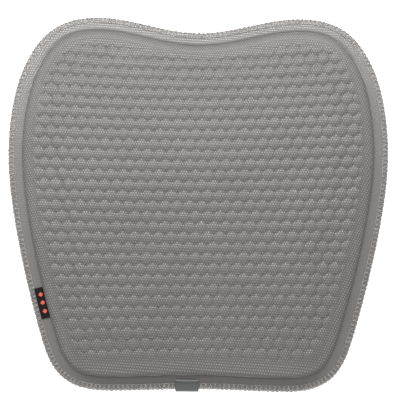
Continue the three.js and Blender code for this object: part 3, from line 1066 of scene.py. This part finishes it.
def mark_piece(place_at, top):
    """The label's marks, laid on it by its own frames."""
    vertices = []
    faces = []
    for share in MARK_PLACES:
        start = len(vertices)
        at = share * LABEL_LENGTH
        for reach, lift in MARK_RINGS:
            for k in range(MARK_SIDES):
                t = 2 * math.pi * k / MARK_SIDES
                size = reach / (abs(math.cos(t)) + abs(math.sin(t))) ** 0.8
                place = place_at(at + size * math.cos(t))
                vertices.append(place(MARK_INSET + size * math.sin(t), top + lift))
        for r in range(len(MARK_RINGS) - 1):
            for k in range(MARK_SIDES):
                n = (k + 1) % MARK_SIDES
                a = start + r * MARK_SIDES
                faces.append((a + k, a + n, a + MARK_SIDES + n, a + MARK_SIDES + k))
        last = start + (len(MARK_RINGS) - 1) * MARK_SIDES
        faces.append(tuple(range(last, last + MARK_SIDES)))
        faces.append(tuple(range(start + MARK_SIDES - 1, start - 1, -1)))
    marks = make_piece("label_marks", vertices, faces,
                       textured_thread("mark_thread", "#d23c1e", "#f0765c"))
    settle(marks, "label")
    return marks


def tab_pieces():
    """The tape folded round the front edge, and the row of stitches along its upper leaf."""
    low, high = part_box("front_tab")
    line_low = low.z + TAB_CLOTH / 2
    line_high = high.z - TAB_CLOTH / 2
    reach = high.y - low.y - TAB_CLOTH / 2
    bend = reach - TAB_CORNER
    turn = [(math.sin(a), 1 - math.cos(a)) for a in np.linspace(0, math.pi / 2, 6)]
    under = [(bend + TAB_CORNER * out, line_low + TAB_CORNER * up) for out, up in turn]
    over = [(bend + TAB_CORNER * out, line_high - TAB_CORNER * up) for out, up in reversed(turn)]
    leaf = [bend * i / 8 for i in range(8)]
    line = [(d, line_low) for d in leaf] + under + over + [(d, line_high) for d in reversed(leaf)]
    profile = thick_profile([(high.y - d, z) for d, z in line], TAB_CLOTH)[::-1]

    def place_at(x, sag):
        def place(y, z):
            return (x, y + sag, z - 0.3 * sag)
        return place

    # The tape's sides sag a little, and the tape waves along the edge
    frames = []
    for x in np.linspace(low.x, high.x, 19):
        end = abs(2 * (x - low.x) / (high.x - low.x) - 1)
        frames.append(place_at(x, 0.12 * MM * end**4 + 0.05 * MM * math.sin(x / (3 * MM))))
    # The last 1.5 mm at the tape's stitched end gets a painted highlight
    tape = ribbed_tape("tab_tape", "#464948", "#5c5f5e", "X", 0.4, high.y - 1.5 * MM)
    tab = folded_strip("tape_tab", profile, frames, tape)
    settle(tab, "tab", "front_tab")

    row_low, row_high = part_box("front_tab_thread")
    stitch = (row_high.x - row_low.x) / TAB_STITCHES
    y = (row_low.y + row_high.y) / 2
    runs = []
    for i in range(TAB_STITCHES):
        x = row_low.x + i * stitch
        runs.append(np.array([(x + share * stitch, y, high.z + lift * MM) for share, lift in TAB_STOPS]))
    stitches = thread_piece("tab_stitches", runs, TAB_THREAD,
                            textured_thread("tab_thread", "#8a8e8c", "#b4b8b6"), closed=False)
    settle(stitches, "tab_thread", "front_tab_thread")


# ---------------------------------------------------------------- studio

def studio():
    """A white floor that glows a little, as a lit sweep does, a dim sky and two soft lights."""
    bpy.ops.mesh.primitive_plane_add(size=30, location=(0, 0, cad_box[0].z))
    floor = bpy.context.object
    floor.name = "floor"
    material, tree, shader, _ = new_material("floor_paper")
    set_inputs(tree, shader, {
        "Base Color": linear("#fbfbfb"), "Roughness": 0.9, "Specular IOR Level": 0.0,
        "Emission Color": linear("#ffffff"), "Emission Strength": 0.75,
    })
    floor.data.materials.append(material)

    world = bpy.data.worlds.new("studio")
    bpy.context.scene.world = world
    world.use_nodes = True
    sky = world.node_tree.nodes["Background"]
    set_inputs(world.node_tree, sky, {"Color": linear("#ffffff"), "Strength": 0.54})

    def softbox(name, place, aim, size, watts):
        light = bpy.data.lights.new(name, "AREA")
        light.shape = "RECTANGLE"
        light.size, light.size_y = size
        light.energy = watts
        lamp = bpy.data.objects.new(name, light)
        lamp.location = place
        lamp.rotation_euler = (Vector(aim) - Vector(place)).to_track_quat("-Z", "Y").to_euler()
        bpy.context.scene.collection.objects.link(lamp)

    softbox("back_softbox", (-0.05, 0.38, 0.45), (0, 0.05, 0), (1.4, 0.14), 6.1)
    softbox("front_fill", (0, -0.65, 0.35), (0, -0.2, 0), (0.8, 0.3), 1.8)


CAMERA_DISTANCE = 6.0
CAMERA_ELEVATION = 78
CAMERA_ROLL = 0.45
CAMERA_AIM = (2.5 * MM, 3.6 * MM, FLANGE_TOP)
VIEW_WIDTH = 472 * MM               # how much shows at the seat, a little more than its own width
SENSOR = 36.0


def camera():
    """A long lens that looks down at the seat from the front."""
    data = bpy.data.cameras.new("camera")
    data.sensor_width = SENSOR
    data.lens = SENSOR * CAMERA_DISTANCE / VIEW_WIDTH
    data.clip_end = 50
    rig = bpy.data.objects.new("camera", data)
    bpy.context.scene.collection.objects.link(rig)
    bpy.context.scene.camera = rig
    elevation = math.radians(CAMERA_ELEVATION)
    aim = Vector(CAMERA_AIM)
    back = Vector((0, -math.cos(elevation), math.sin(elevation)))
    rig.location = aim + back * CAMERA_DISTANCE
    level = (-back).to_track_quat("-Z", "Y")
    rig.rotation_euler = (level @ Quaternion((0, 0, 1), math.radians(CAMERA_ROLL))).to_euler()


camera()
studio()
bpy.context.scene.view_settings.view_transform = "Standard"

face_piece(settled_cover())
wadding_piece()
slab_piece("soft_slab", "comfort_foam", "comfort_foam",
           cut_foam("comfort_foam", "#c9c2ad", "#e9e4d5", 0.9 * MM), 5.7 * MM, 3 * MM)
slab_piece("firm_slab", "support_foam", "support_foam",
           cut_foam("support_foam", "#6f7173", "#9d9fa1", 0.7 * MM), 2 * MM, 6 * MM)
underside_piece()
grip_piece()
overlock_pieces()
label_pieces()
tab_pieces()

bpy.context.view_layer.update()
